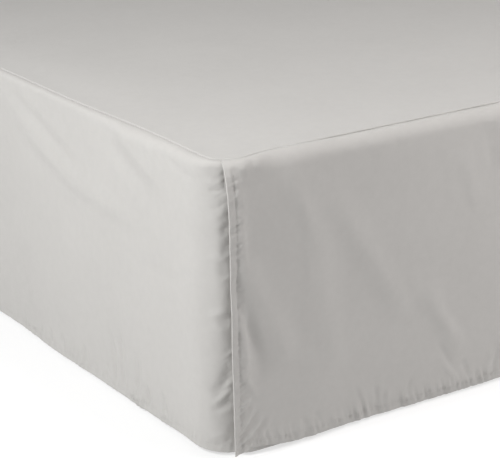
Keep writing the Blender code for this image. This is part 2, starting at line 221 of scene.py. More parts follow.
FOOT_FOLDS = table(Fold, (
    (0.018, 0.070, 0.020, 0.200, 0.036, 0.0026),
    (0.044, 0.158, 0.098, 0.280, 0.016, 0.0034),
    (0.031, 0.165, 0.060, 0.296, 0.013, -0.0026),
    (0.112, 0.052, 0.152, 0.150, 0.021, 0.0026),
    (0.156, 0.195, 0.178, 0.310, 0.022, 0.0022),
    (0.190, 0.100, 0.290, 0.262, 0.022, 0.0031),
    (0.342, 0.262, 0.386, 0.338, 0.016, 0.0028),
    (0.396, 0.076, 0.412, 0.134, 0.015, 0.0022),
    (0.452, 0.160, 0.470, 0.350, 0.040, 0.0020),
    (0.640, 0.060, 0.600, 0.390, 0.055, -0.0026),
    (0.860, 0.040, 0.900, 0.390, 0.060, 0.0030),
    (1.120, 0.060, 1.090, 0.390, 0.050, -0.0026),
    (1.330, 0.090, 1.420, 0.300, 0.035, 0.0022),
))

# The hem rises or dips gently: "along" as above, "reach" the half width of the rise.
HemRise = namedtuple("HemRise", "along reach rise")

LEFT_RISES = table(HemRise, (
    (-0.055, 0.030, -0.0014),
    (0.020, 0.080, 0.0022),
    (0.300, 0.090, 0.0006),
    (0.900, 0.200, -0.0009),
    (1.450, 0.220, 0.0015),
))
RIGHT_RISES = table(HemRise, (
    (-0.055, 0.030, 0.0030),
    (0.600, 0.180, 0.0014),
    (1.200, 0.220, -0.0009),
))
FOOT_RISES = table(HemRise, (
    (0.050, 0.036, 0.0084),
    (0.140, 0.060, 0.0006),
    (0.300, 0.140, -0.0010),
    (0.800, 0.180, 0.0014),
    (BED_WIDTH - 0.034, 0.020, 0.0038),
))

# The drops sway in and out along their length, more at the hem than at the seam.
Sway = namedtuple("Sway", "wave phase size")

SIDE_SWAYS = (Sway(0.83, 0.4, 0.0018), Sway(0.39, 2.1, 0.0011))
FOOT_SWAYS = (Sway(0.71, 1.2, 0.0016), Sway(0.33, 0.2, 0.0010))

# The stitches draw the hem up more in some places: "reach" is the half width of such a place.
Gather = namedtuple("Gather", "along reach more")

SIDE_GATHERS = table(Gather, (
    (-0.040, 0.050, -0.36),
    (-0.052, 0.014, 0.35),
    (0.085, 0.020, 0.85),
    (0.160, 0.022, 1.15),
    (0.235, 0.020, 1.10),
    (0.320, 0.024, 1.20),
    (0.450, 0.040, 0.80),
    (0.800, 0.120, 0.40),
    (1.400, 0.150, 0.40),
))
FOOT_GATHERS = table(Gather, (
    (0.060, 0.030, 0.30),
    (0.140, 0.026, 0.60),
    (0.238, 0.026, 0.85),
    (0.312, 0.020, 0.75),
    (0.405, 0.045, 0.90),
    (0.750, 0.120, 0.50),
    (1.150, 0.150, 0.50),
))

# A crease follows a curve through its points, each (along, down), and fades out at both ends.
Crease = namedtuple("Crease", "width height points")

LEFT_CREASES = table(Crease, (
    (0.0140, -0.0048, ((0.558, 0.014), (0.514, 0.030), (0.464, 0.048), (0.416, 0.063),
                       (0.366, 0.080), (0.318, 0.097), (0.270, 0.112))),
    (0.0150, 0.0048, ((0.530, 0.044), (0.482, 0.067), (0.400, 0.095), (0.316, 0.118),
                      (0.220, 0.132), (0.160, 0.140), (0.110, 0.144))),
    (0.0110, -0.0008, ((0.240, 0.146), (0.180, 0.154), (0.120, 0.156))),
    (0.0120, -0.0008, ((0.500, 0.096), (0.431, 0.122), (0.370, 0.138))),
    (0.0140, 0.0031, ((0.216, 0.012), (0.172, 0.028), (0.131, 0.045), (0.095, 0.060),
                      (0.054, 0.071))),
    (0.0160, -0.0032, ((0.240, 0.032), (0.196, 0.051), (0.154, 0.070), (0.114, 0.088),
                       (0.076, 0.097))),
    (0.0070, 0.0014, ((0.124, 0.012), (0.104, 0.026), (0.076, 0.044), (0.050, 0.060))),
    (0.0050, -0.0006, ((0.128, 0.030), (0.099, 0.044), (0.070, 0.058))),
    (0.0055, -0.0020, ((0.076, 0.020), (0.040, 0.031), (0.000, 0.038), (-0.030, 0.042))),
    (0.0060, -0.0009, ((0.178, 0.184), (0.107, 0.192), (0.055, 0.187), (0.000, 0.176),
                       (-0.040, 0.164))),
    (0.0100, -0.0008, ((0.510, 0.284), (0.493, 0.330), (0.478, 0.366))),
    (0.0090, 0.0006, ((0.520, 0.330), (0.512, 0.362), (0.506, 0.396))),
    (0.0040, 0.0012, ((-0.030, 0.033), (-0.040, 0.036), (-0.049, 0.038), (-0.056, 0.039))),
    (0.0034, -0.0010, ((-0.032, 0.047), (-0.042, 0.046), (-0.050, 0.045), (-0.058, 0.044))),
    (0.0034, -0.0022, ((-0.057, 0.014), (-0.056, 0.028), (-0.056, 0.046))),
    (0.0040, 0.0004, ((-0.026, 0.064), (-0.038, 0.060), (-0.052, 0.058))),
    (0.0040, -0.0005, ((-0.034, 0.070), (-0.044, 0.067), (-0.056, 0.064))),
    (0.0045, -0.0010, ((-0.056, 0.082), (-0.054, 0.096), (-0.055, 0.108))),
    (0.0045, -0.0010, ((-0.056, 0.112), (-0.053, 0.123), (-0.055, 0.134))),
    (0.0050, 0.0006, ((-0.022, 0.146), (-0.038, 0.138), (-0.054, 0.134))),
    (0.0060, -0.0013, ((-0.054, 0.140), (-0.050, 0.152), (-0.053, 0.166))),
    (0.0050, 0.0012, ((-0.026, 0.221), (-0.036, 0.215), (-0.046, 0.209), (-0.056, 0.203))),
    (0.0070, -0.0014, ((-0.046, 0.236), (-0.049, 0.224), (-0.055, 0.210))),
    (0.0080, -0.0030, ((-0.028, 0.334), (-0.037, 0.323), (-0.046, 0.309), (-0.058, 0.280))),
    (0.0036, 0.0012, ((-0.030, 0.342), (-0.038, 0.335), (-0.048, 0.326), (-0.060, 0.316))),
    (0.0065, -0.0022, ((-0.026, 0.359), (-0.035, 0.352), (-0.045, 0.342), (-0.058, 0.326))),
    (0.0045, 0.0007, ((-0.020, 0.362), (-0.034, 0.354), (-0.052, 0.344))),
    (0.0060, -0.0006, ((-0.038, 0.372), (-0.046, 0.358), (-0.054, 0.346))),
    (0.0040, 0.0008, ((-0.020, 0.394), (-0.034, 0.386), (-0.054, 0.376))),
    (0.0040, -0.0008, ((-0.026, 0.402), (-0.040, 0.396), (-0.056, 0.388))),
    (0.0060, -0.0032, ((0.232, 0.318), (0.224, 0.346), (0.220, 0.384))),
    (0.0060, -0.0032, ((0.206, 0.308), (0.200, 0.340), (0.197, 0.380))),
    (0.0060, -0.0024, ((0.160, 0.330), (0.155, 0.356), (0.153, 0.388))),
    (0.0040, -0.0026, ((0.420, 0.376), (0.417, 0.390), (0.416, 0.406))),
    (0.0040, -0.0028, ((0.380, 0.372), (0.377, 0.388), (0.376, 0.406))),
    (0.0045, -0.0032, ((0.313, 0.366), (0.309, 0.384), (0.308, 0.406))),
    (0.0040, -0.0026, ((0.246, 0.374), (0.243, 0.390), (0.242, 0.406))),
    (0.0045, -0.0030, ((0.224, 0.364), (0.221, 0.384), (0.220, 0.406))),
    (0.0045, -0.0032, ((0.202, 0.358), (0.199, 0.380), (0.198, 0.406))),
    (0.0040, -0.0030, ((0.160, 0.368), (0.157, 0.386), (0.156, 0.406))),
    (0.0045, -0.0032, ((0.131, 0.370), (0.128, 0.388), (0.127, 0.406))),
    (0.0045, -0.0028, ((0.086, 0.366), (0.082, 0.386), (0.080, 0.406))),
))
FOOT_CREASES = table(Crease, (
    (0.0090, 0.0008, ((0.108, 0.036), (0.124, 0.070), (0.135, 0.098), (0.148, 0.133))),
    (0.0080, -0.0007, ((0.112, 0.080), (0.122, 0.112), (0.130, 0.160))),
    (0.0060, 0.0007, ((0.136, 0.150), (0.139, 0.180), (0.141, 0.214))),
    (0.0120, 0.0008, ((0.176, 0.072), (0.190, 0.101), (0.208, 0.132), (0.246, 0.189),
                      (0.269, 0.230), (0.292, 0.265))),
    (0.0100, 0.0010, ((0.302, 0.214), (0.318, 0.246), (0.330, 0.286))),
    (0.0100, 0.0010, ((0.368, 0.060), (0.376, 0.110), (0.372, 0.160))),
    (0.0090, -0.0010, ((0.396, 0.090), (0.402, 0.130), (0.414, 0.166))),
    (0.0090, 0.0015, ((0.432, 0.010), (0.452, 0.032), (0.464, 0.068), (0.468, 0.116))),
    (0.0075, -0.0011, ((0.418, 0.022), (0.434, 0.046), (0.444, 0.080), (0.448, 0.118))),
    (0.0090, 0.0011, ((0.334, 0.250), (0.346, 0.278), (0.366, 0.308), (0.390, 0.344))),
    (0.0070, -0.0009, ((0.356, 0.262), (0.372, 0.292), (0.394, 0.318), (0.412, 0.340))),
    (0.0045, -0.0015, ((0.350, 0.330), (0.362, 0.346), (0.374, 0.366), (0.382, 0.390))),
    (0.0038, -0.0018, ((0.212, 0.364), (0.220, 0.376), (0.227, 0.390), (0.230, 0.404))),
    (0.0038, -0.0018, ((0.242, 0.370), (0.249, 0.382), (0.253, 0.404))),
    (0.0038, -0.0016, ((0.260, 0.366), (0.264, 0.382), (0.262, 0.404))),
    (0.0050, 0.0018, ((0.366, 0.364), (0.378, 0.384), (0.392, 0.404))),
    (0.0050, -0.0018, ((0.396, 0.366), (0.404, 0.384), (0.412, 0.404))),
    (0.0050, 0.0018, ((0.454, 0.364), (0.448, 0.384), (0.440, 0.404))),
    (0.0050, -0.0016, ((0.464, 0.358), (0.458, 0.382), (0.452, 0.404))),
    (0.0040, 0.0016, ((0.214, 0.362), (0.226, 0.382), (0.234, 0.404))),
    (0.0050, 0.0016, ((0.254, 0.362), (0.263, 0.380), (0.276, 0.402))),
    (0.0040, -0.0018, ((0.310, 0.374), (0.305, 0.388), (0.302, 0.404))),
    (0.0040, -0.0018, ((0.140, 0.380), (0.148, 0.390), (0.153, 0.404))),
    (0.0040, -0.0016, ((0.122, 0.382), (0.127, 0.392), (0.132, 0.404))),
    (0.0070, 0.0010, ((0.036, 0.140), (0.043, 0.180), (0.053, 0.214), (0.065, 0.246),
                      (0.078, 0.280))),
    (0.0060, -0.0012, ((0.026, 0.104), (0.030, 0.146), (0.036, 0.190), (0.041, 0.212))),
    (0.0070, -0.0024, ((0.024, 0.146), (0.028, 0.176), (0.034, 0.204), (0.045, 0.238),
                       (0.057, 0.270), (0.067, 0.296))),
    (0.0060, 0.0014, ((0.032, 0.222), (0.038, 0.256), (0.040, 0.300))),
    (0.0050, 0.0014, ((0.034, 0.296), (0.048, 0.324), (0.054, 0.344))),
    (0.0035, 0.0018, ((0.050, 0.346), (0.038, 0.362), (0.024, 0.378))),
    (0.0035, -0.0016, ((0.056, 0.354), (0.042, 0.371), (0.024, 0.387))),
    (0.0035, 0.0018, ((0.064, 0.362), (0.050, 0.378), (0.026, 0.394))),
    (0.0035, -0.0016, ((0.070, 0.370), (0.055, 0.385), (0.034, 0.400))),
    (0.0035, 0.0014, ((0.076, 0.372), (0.066, 0.385), (0.054, 0.399))),
    (0.0035, 0.0014, ((0.044, 0.330), (0.034, 0.339), (0.024, 0.344))),
    (0.0035, -0.0014, ((0.044, 0.340), (0.034, 0.350), (0.022, 0.358))),
    (0.0035, -0.0012, ((0.022, 0.296), (0.030, 0.306), (0.036, 0.320))),
    (0.0060, -0.0006, ((0.274, 0.008), (0.284, 0.030), (0.298, 0.052))),
    (0.0080, -0.0006, ((0.230, 0.010), (0.240, 0.040), (0.252, 0.066))),
    (0.0100, -0.0008, ((0.134, 0.280), (0.150, 0.296), (0.176, 0.308))),
    (0.0140, -0.0008, ((0.112, 0.186), (0.120, 0.240), (0.128, 0.300))),
    (0.0120, 0.0018, ((0.018, 0.019), (0.048, 0.018), (0.090, 0.016))),
    (0.0030, 0.0010, ((0.021, 0.010), (0.025, 0.025), (0.030, 0.042))),
    (0.0030, -0.0012, ((0.030, 0.008), (0.034, 0.022), (0.038, 0.038))),
    (0.0035, 0.0009, ((0.042, 0.007), (0.045, 0.020), (0.050, 0.034))),
    (0.0035, -0.0008, ((0.056, 0.008), (0.058, 0.020), (0.062, 0.030))),
))
RIGHT_CREASES = table(Crease, (
    (0.0090, 0.0008, ((0.360, 0.040), (0.270, 0.076), (0.190, 0.120), (0.110, 0.150))),
    (0.0070, -0.0007, ((0.150, 0.040), (0.090, 0.070), (0.020, 0.086))),
    (0.0030, -0.0011, ((-0.018, 0.036), (-0.036, 0.039), (-0.058, 0.040))),
    (0.0035, 0.0008, ((-0.022, 0.047), (-0.038, 0.049), (-0.058, 0.050))),
    (0.0035, -0.0009, ((-0.020, 0.092), (-0.038, 0.090), (-0.060, 0.088))),
    (0.0050, -0.0012, ((-0.016, 0.252), (-0.036, 0.238), (-0.060, 0.220))),
    (0.0050, 0.0012, ((-0.012, 0.300), (-0.034, 0.280), (-0.060, 0.262))),
    (0.0050, -0.0012, ((-0.024, 0.310), (-0.042, 0.296), (-0.062, 0.276))),
    (0.0045, 0.0010, ((-0.014, 0.362), (-0.036, 0.350), (-0.060, 0.332))),
    (0.0050, -0.0009, ((-0.026, 0.374), (-0.044, 0.362), (-0.062, 0.346))),
))

# Spacing of a cloth's columns or rows: from the last end to this one, at this step.
Span = namedtuple("Span", "end step")

SIDE_SPANS = (Span(-0.080, 0.0060), Span(0.060, 0.0020), Span(0.640, 0.0030), Span(1.900, 0.0095))
FOOT_SPANS = (Span(0.110, 0.0020), Span(0.490, 0.0025), Span(1.400, 0.0070), Span(1.470, 0.0022))
HANG_SPANS = (Span(0.090, 0.0046), Span(0.300, 0.0066), Span(0.348, 0.0042))

# A drop keeps all its rows within the fine reach of a corner's overlapped edges, which cross a
# side at FINE_PLACE. It keeps every second row within the middle reach and every fourth row
# elsewhere. Its back keeps every fourth row and every second column.
FINE_PLACE = -0.048
FINE_REACH = 0.032
MIDDLE_REACH = 0.060

# Columns and rows beside a hemmed edge, by their distance from it.
EDGE_STEPS = (0.0, 0.0002, 0.0006, 0.0012, 0.0028, 0.0048, 0.0068, 0.0086, 0.0098, STITCH_LINE,
              0.0114, 0.0126, 0.0145, 0.0170, 0.0200)
EDGE_REACH = EDGE_STEPS[-1] + 0.001

# The same beside the platform's seams and head hem.
RIM_STEPS = [0.0, 0.0002, 0.0006, 0.0012, 0.0018, 0.0026]
RIM_REACH = 0.0045

# The box spring's rounded corners and piping.
BASE_CORNER_RADIUS = 0.062
BASE_CORNER_STEPS = 8
BASE_RUN_STEPS = 40
PIPING_RADIUS = 0.0026
PIPING_SIDES = 8

# The cloth's look: how far its tone varies, and the depths of its weave and nap.
MOTTLE = 0.03
WEAVE_DEPTH = 0.00006
NAP_DEPTH = 0.00025
WARM_WHITE = (1.0, 0.974, 0.966)


def eased(part):
    """Rise from 0 to 1 as part does, with level ends."""
    return part * part * (3 - 2 * part)


def smooth(low, high, value):
    """Rise from 0 at low to 1 at high, with level ends."""
    return eased(np.clip((value - low) / (high - low), 0.0, 1.0))


def bell(off, reach):
    """Fall from 1 where off is 0 to nearly nothing at twice the reach, on both sides."""
    return np.exp(-(off / reach) ** 2)


def changed(strength, changes, down):
    """A strength after its changes down the cloth."""
    for change in changes:
        strength = strength + change.more * smooth(change.start, change.end, down)
    return strength


def stations(start, spans, finish):
    """Places from start to finish, spaced as the spans say."""
    places = [start]
    for span in spans + (Span(finish, spans[-1].step),):
        first = places[-1]
        steps = max(1, round((span.end - first) / span.step))
        places += [first + (span.end - first) * step / steps for step in range(1, steps + 1)]
    return places


def hemmed(places, at_start, at_finish):
    """Swap the places beside a hemmed edge for those of EDGE_STEPS."""
    low = places[0] + EDGE_REACH if at_start else places[0] - 1
    high = places[-1] - EDGE_REACH if at_finish else places[-1] + 1
    kept = [place for place in places if low < place < high]
    if at_start:
        kept = [places[0] + step for step in EDGE_STEPS] + kept
    if at_finish:
        kept += [places[-1] - step for step in reversed(EDGE_STEPS)]
    return np.array(kept)


def halved(places):
    """The same places with one more in the middle of each gap."""
    return np.sort(np.concatenate([places, (places[:-1] + places[1:]) / 2]))


def knots(place, count):
    """The knots before and after a place, in a ring of count, and how far it is between them."""
    knot = np.floor(place).astype(int)
    return knot % count, (knot + 1) % count, eased(place - knot)


def wander(seed, wave, place):
    """A smooth random line between -1 and 1, with a new value every wave."""
    values = np.random.default_rng(seed).uniform(-1, 1, LINE_KNOTS)
    low, high, part = knots(place / wave + LINE_START, LINE_KNOTS)
    return values[low] * (1 - part) + values[high] * part


def rolling(seed, wave, across, up):
    """Smooth random relief between -1 and 1, with a new value every wave both ways."""
    values = np.random.default_rng(seed).uniform(-1, 1, (GRID_KNOTS, GRID_KNOTS))
    left, right, part = knots(across / wave + GRID_START, GRID_KNOTS)
    low, high, rise = knots(up / wave + GRID_START, GRID_KNOTS)
    below = values[low, left] * (1 - part) + values[low, right] * part
    above = values[high, left] * (1 - part) + values[high, right] * part
    return below * (1 - rise) + above * rise


def ripples(seed, along, down):
    """Slow uneven relief all over a drop."""
    relief = RIPPLE_SIZE * rolling(seed + 5, RIPPLE_WAVE, along, down)
    return relief * smooth(*RIPPLE_GROWTH, down)


def puckered(seed, puckers, place, off):
    """Uneven puckers beside a line of stitches: place runs along it, off away from it.

    They are soft ridges with narrow valleys between them, about two waves apart.
    """
    seed += puckers.seed
    slanted = puckers.slant * off
    ridges = 1.6 * np.abs(wander(seed, puckers.wave, place + slanted)) ** 0.8 - 0.35
    uneven = 0.5 * wander(seed + 1, puckers.wave * 2.3, place - slanted)
    patches = 0.60 + 0.40 * wander(seed + 2, puckers.wave * 7, place)
    reach = np.where(off > 0, puckers.above, puckers.below)
    return puckers.size * (ridges + uneven) * patches * bell(off, reach)


def mottled(seed, mottling, across, down, off):
    """Small uneven relief near a line of stitches, off away from it."""
    relief = mottling.size * rolling(seed + mottling.seed, mottling.wave, across, down)
    return relief * bell(off - mottling.place, mottling.reach)


def outline(turn):
    """Plan point and outward normal of the left foot corner's outline, from its sharp corner.

    turn is the distance past the start of the corner's arc, below 0 on the side wall.
    """
    angle = np.clip(turn / CORNER_RADIUS, 0, pi / 2)
    normal = np.stack([-np.cos(angle), -np.sin(angle)], axis=-1)
    place = CORNER_RADIUS * (1 + normal)
    place[..., 1] += np.maximum(-turn, 0)
    place[..., 0] += np.maximum(turn - CORNER_ARC, 0)
    return place, normal


def edge_radius(turn):
    """Radius of the cloth's bend over the top edge."""
    radius = BENDS[0].radius
    for low, high in zip(BENDS[:-1], BENDS[1:]):
        radius = radius + (high.radius - low.radius) * smooth(low.turn, high.turn, turn)
    return radius


def profile(row, radius):
    """Inset from the wall, height, distance down the cloth and tilt, for a row of a drop.

    Row -1 is the seam, on a flat lip. Rows 0 to 1 go round the top edge, and rows 1 to 2 hang
    straight to the hem. The tilt is 0 where the cloth lies flat and a quarter turn where it hangs.
    """
    lip = np.minimum(row, 0)
    tilt = np.clip(row, 0, 1) * pi / 2
    hang = (CLOTH_TOP - radius - HEM_HEIGHT) * np.maximum(row - 1, 0)
    inset = radius * (1 - np.sin(tilt)) - SEAM_LIP * lip
    height = CLOTH_TOP - radius * (1 - np.cos(tilt)) - hang
    return inset, height, SEAM_LIP * (1 + lip) + radius * tilt + hang, tilt


def drop_rows():
    """Rows from the seam to the hem, close together at the seam and at the hem's stitches."""
    hang = CLOTH_TOP - FOOT_EDGE_RADIUS - HEM_HEIGHT
    hung = 1 + hemmed(stations(0.0, HANG_SPANS, hang), False, True) / hang
    return halved(halved(np.concatenate([LIP_ROWS, np.arange(10) / 10, hung])))


def row_steps(away):
    """Which rows the columns this far from an overlapped edge keep: 1 for all, 4 for few."""
    return np.where(away < FINE_REACH, 1, np.where(away < MIDDLE_REACH, 2, 4))


def fold_height(folds, along, down):
    """How far the folds push a place of a drop outwards."""
    total = np.zeros_like(along)
    for fold in folds:
        run = np.array((fold.along_b - fold.along_a, fold.down_b - fold.down_a))
        here = np.stack([along - fold.along_a, down - fold.down_a], axis=-1)
        part = np.clip(here @ run / (run @ run), 0, 1)
        distance = np.linalg.norm(here - part[..., None] * run, axis=-1)
        total += fold.height * bell(distance, fold.width)
    return total * smooth(*FOLD_GROWTH, down)


def curve_through(points, pieces=8):
    """A smooth open curve through the points."""
    points = np.array(points)
    ends = np.vstack([2 * points[0] - points[1], points, 2 * points[-1] - points[-2]])
    curve = [points[0]]
    for first in range(len(points) - 1):
        a, b, c, d = ends[first:first + 4]
        for part in (np.arange(pieces) + 1) / pieces:
            curve.append(0.5 * (2 * b + (c - a) * part + (2 * a - 5 * b + 4 * c - d) * part ** 2
                                + (3 * b - a - 3 * c + d) * part ** 3))
    return np.array(curve)


def crease_height(creases, along, down):
    """How far the drawn creases push a place of a drop outwards."""
    total = np.zeros_like(along)
    here = np.stack([along, down], axis=-1)
    for crease in creases:
        curve = curve_through(crease.points)
        near = np.full(along.shape, np.inf)
        run = np.zeros_like(along)
        gone = 0.0
        for start, end in zip(curve[:-1], curve[1:]):
            step = end - start
            part = np.clip((here - start) @ step / (step @ step), 0, 1)
            distance = np.linalg.norm(here - start - part[..., None] * step, axis=-1)
            length = np.linalg.norm(step)
            closer = distance < near
            near = np.where(closer, distance, near)
            run = np.where(closer, gone + part * length, run)
            gone += length
        ends = smooth(0, 0.35, run / gone) * smooth(0, 0.35, 1 - run / gone)
        total += crease.height * bell(near, crease.width) * ends
    return total


def sway_depth(sways, along, down):
    """How far a drop sways outwards."""
    total = sum(sway.size * np.sin(tau * along / sway.wave + sway.phase) for sway in sways)
    return total * smooth(*SWAY_GROWTH, down)


def hem_rise(rises, along, down):
    """How far the hem lifts, fading upwards."""
    total = sum(rise.rise * bell(along - rise.along, rise.reach) for rise in rises)
    return total * smooth(*RISE_GROWTH, down)


def rolled(radius, off):
    """How far cloth rolls down at an edge or into a seam, at a distance from it."""
    inward = radius - np.clip(off, 0, radius)
    return radius - np.sqrt(radius ** 2 - inward ** 2)


def lip_height(down, turn):
    """How far a drop's top edge lies below the platform's, which is sewn down over it."""
    drop = LIP_DROP_SIDE + (LIP_DROP_FOOT - LIP_DROP_SIDE) * smooth(0, CORNER_ARC, turn)
    return rolled(LIP_ROLL, down) + drop * (1 - smooth(0, LIP_REACH, down))


def gather_strength(gathers, along):
    """How strongly a hem is drawn up: unevenly, more in some places than in others."""
    total = np.full_like(along, PLAIN_GATHER)
    for gather in gathers:
        total += gather.more * bell(along - gather.along, gather.reach)
    return total


def sewing_height(seed, along, down, from_hem, from_ends, gathered):
    """Puckers along a drop's seam, its hem and its two upright hems.

    gathered says how strongly the hem is drawn up at each place.
    """
    total = puckered(seed, SEAM_PUCKERS, along, down)
    off = from_hem - STITCH_LINE
    hem = puckered(seed, HEM_PUCKERS, along, off) + puckered(seed, HEM_CRIMPS, along, off)
    total += hem * gathered
    near_ends = 0.75 + 0.25 * bell(down, UPRIGHT_END_REACH)
    near_ends += 0.40 * bell(from_hem, UPRIGHT_END_REACH)
    fuller = changed(1, PUFF_CHANGES, down)
    for number, from_end in enumerate(from_ends):
        off = from_end - STITCH_LINE
        own = seed + 10 * number
        upright = puckered(own, UPRIGHT_PUCKERS, down, off)
        upright += mottled(own, UPRIGHT_MOTTLING, off, down, off)
        puffed = PUFF * bell(off - PUFF_PLACE, PUFF_REACH)
        total += (upright * near_ends + puffed * fuller) * smooth(*UPRIGHT_GROWTH, down)
    return total


Cloth = namedtuple("Cloth", "outer inner uv normal steps")


def shell(mid, outward, hem, from_edge, sunk, uv, steps):
    """The two faces of a cloth: thicker where hem is 1, round at its edge and sunk in places."""
    normal = normals(mid, outward)
    radius = (CLOTH_THICK + (HEM_THICK - CLOTH_THICK) * hem) / 2
    inward = np.clip(radius - from_edge, 0, radius)
    half = np.maximum(np.sqrt(radius ** 2 - inward ** 2), radius * EDGE_LEFT)
    centre = mid + normal * (CLOTH / 2 - radius - sunk)[..., None]
    reach = normal * half[..., None]
    return Cloth(centre + reach, centre - reach, np.stack(uv, axis=-1), normal, steps)


def drop_shell(seed, mid, outward, along, down, from_hem, from_ends, steps):
    """The two faces of a drop's cloth, whose folded hems are thicker and round at their edges."""
    ends = np.minimum(*from_ends)
    hem = np.maximum(1 - smooth(HEM_WIDTH, HEM_WIDTH + HEM_STEP, ends),
                     1 - smooth(HEM_WIDTH - 0.002, HEM_WIDTH + 0.004, from_hem))
    pull = (0.75 + 0.35 * wander(seed + 60, 0.009, down)) * smooth(*PULL_GROWTH, down)
    pull *= changed(1, PULL_CHANGES, down)
    groove = np.maximum(pull * bell(ends - STITCH_LINE, GROOVE_REACH),
                        HEM_GROOVE * bell(from_hem - STITCH_LINE, HEM_GROOVE_REACH))
    sunk = STITCH_GROOVE * groove + rolled(EDGE_ROLL, ends)
    return shell(mid, outward, hem, np.minimum(from_hem, ends), sunk, (along, down), steps)


def normals(grid, outward):
    """Unit normals of a grid of points, on the side that outward says: 1 or -1."""
    across = np.gradient(grid, axis=1)
    down = np.gradient(grid, axis=0)
    normal = np.cross(across, down) * outward
    return normal / np.linalg.norm(normal, axis=-1, keepdims=True)


def tuck_height(seed, turn, down):
    """Pinches in a side's cloth where it goes in behind the foot drop."""
    tucked = turn - TUCK_START
    pinched = puckered(seed, TUCK_PUCKERS, down, tucked)
    pinched += mottled(seed, TUCK_MOTTLING, turn, down, tucked)
    return pinched * changed(1.1, PINCH_CHANGES, down) * smooth(*PINCH_GROWTH, down)


def side_cloth(seed, folds, creases, rises):
    """The left side drop, whose foot end turns round the corner and ends behind the foot drop."""
    columns = hemmed(stations(SIDE_START, SIDE_SPANS, SIDE_LENGTH), True, True)
    along, row = np.meshgrid(columns, drop_rows())
    turn = -along
    place, face = outline(turn)
    inset, height, down, tilt = profile(row, edge_radius(turn))
    from_hem = down[-1] - down
    from_ends = (along - columns[0], columns[-1] - along)
    free = 1 - smooth(TUCK_START, TUCK_END, turn)
    depth = (fold_height(folds, along, down) + sway_depth(SIDE_SWAYS, along, down)) * free
    depth += crease_height(creases, along, down) * free
    gathered = gather_strength(SIDE_GATHERS, along)
    relief = sewing_height(seed, along, down, from_hem, from_ends, gathered)
    relief += tuck_height(seed, turn, down)
    relief += ripples(seed, along, down)
    relief *= 1 - 0.8 * smooth(TUCK_START + 0.006, TUCK_END, turn)
    out = depth - inset + relief * np.sin(tilt)
    plan = place + face * out[..., None] - (HALF_WIDTH, HALF_LENGTH)
    height = height + hem_rise(rises, along, down) + relief * np.cos(tilt) - lip_height(down, turn)
    mid = np.concatenate([plan, height[..., None]], axis=-1)
    steps = row_steps(np.abs(columns - FINE_PLACE))
    return drop_shell(seed, mid, 1, along, down, from_hem, from_ends, steps)


def foot_wall(corner, turn, down):
    """Plan point and outward normal of the wall behind the foot drop, round only at its top."""
    round_place, round_face = outline(turn)
    rounding = np.exp(-(down / ROUND_REACH) ** ROUND_FALL)[..., None]
    flat_place = np.stack([corner, np.zeros_like(corner)], axis=-1)
    place = flat_place * (1 - rounding) + round_place * rounding
    face = np.array((0, -1)) * (1 - rounding) + round_face * rounding
    return place, face / np.linalg.norm(face, axis=-1, keepdims=True)


def foot_lift(corner, down, from_end):
    """How far the foot drop stands off the sides' ends that it covers."""
    lift = OVERLAP_LIFT_TOP + (OVERLAP_LIFT_LOW - OVERLAP_LIFT_TOP) * smooth(*LIFT_GROWTH, down)
    lift *= 1 - smooth(*LIFT_FADE, corner)
    hemmed_strip = np.clip(1 - from_end / STITCH_LINE, 0, 1)
    return lift + HEM_LEAN * hemmed_strip * smooth(*LEAN_GROWTH, down)


def foot_cloth(seed, folds, creases, rises):
    """The foot drop. Its top follows the round corners, and lower down it hangs flat over them."""
    columns = hemmed(stations(SPLIT_PLACE, FOOT_SPANS, BED_WIDTH - SPLIT_PLACE), True, True)
    along, row = np.meshgrid(columns, drop_rows())
    mirrored = along > HALF_WIDTH
    corner = np.where(mirrored, BED_WIDTH - along, along)
    turn = corner + CORNER_ARC - CORNER_RADIUS
    inset, height, down, tilt = profile(row, edge_radius(turn))
    from_hem = down[-1] - down
    from_ends = (along - columns[0], columns[-1] - along)
    place, face = foot_wall(corner, turn, down)
    lift = foot_lift(corner, down, np.minimum(*from_ends))
    depth = lift + fold_height(folds, along, down) + crease_height(creases, along, down)
    depth += sway_depth(FOOT_SWAYS, along, down) * smooth(0.10, 0.25, corner)
    gathered = gather_strength(FOOT_GATHERS, along)
    relief = sewing_height(seed, along, down, from_hem, from_ends, gathered)
    relief += ripples(seed, along, down)
    out = depth - inset + relief * np.sin(tilt)
    plan = place + face * out[..., None]
    plan[..., 0] = np.where(mirrored, HALF_WIDTH - plan[..., 0], plan[..., 0] - HALF_WIDTH)
    plan[..., 1] -= HALF_LENGTH
    height = height + (lift + relief) * np.cos(tilt) - lip_height(down, turn)
    height += hem_rise(rises, along, down)
    mid = np.concatenate([plan, height[..., None]], axis=-1)
    steps = row_steps(HALF_WIDTH - SPLIT_PLACE - np.abs(columns - HALF_WIDTH))
    return drop_shell(seed, mid, -1, along, down, from_hem, from_ends, steps)


def grid_faces(number, columns, steps):
    """The faces between columns of a grid that keep all or some of its rows.

    Where a column that keeps more rows meets one that keeps fewer, faces have more corners.
    """
    faces = []
    for a, b in zip(columns[:-1], columns[1:]):
        block = max(steps[a], steps[b])
        for row in range(0, len(number) - 1, block):
            left = number[row:row + block + 1:steps[a], a].tolist()
            right = number[row:row + block + 1:steps[b], b].tolist()
            faces.append(tuple(right + left[::-1]))
    return faces


def rim_numbers(number, columns, steps):
    """The points round a grid's edge, in order."""
    finish = number[::steps[columns[-1]], columns[-1]].tolist()
    start = number[::steps[columns[0]], columns[0]].tolist()
    low = number[-1, columns].tolist()
    return number[0, columns].tolist()[:-1] + finish[:-1] + low[:0:-1] + start[:0:-1]


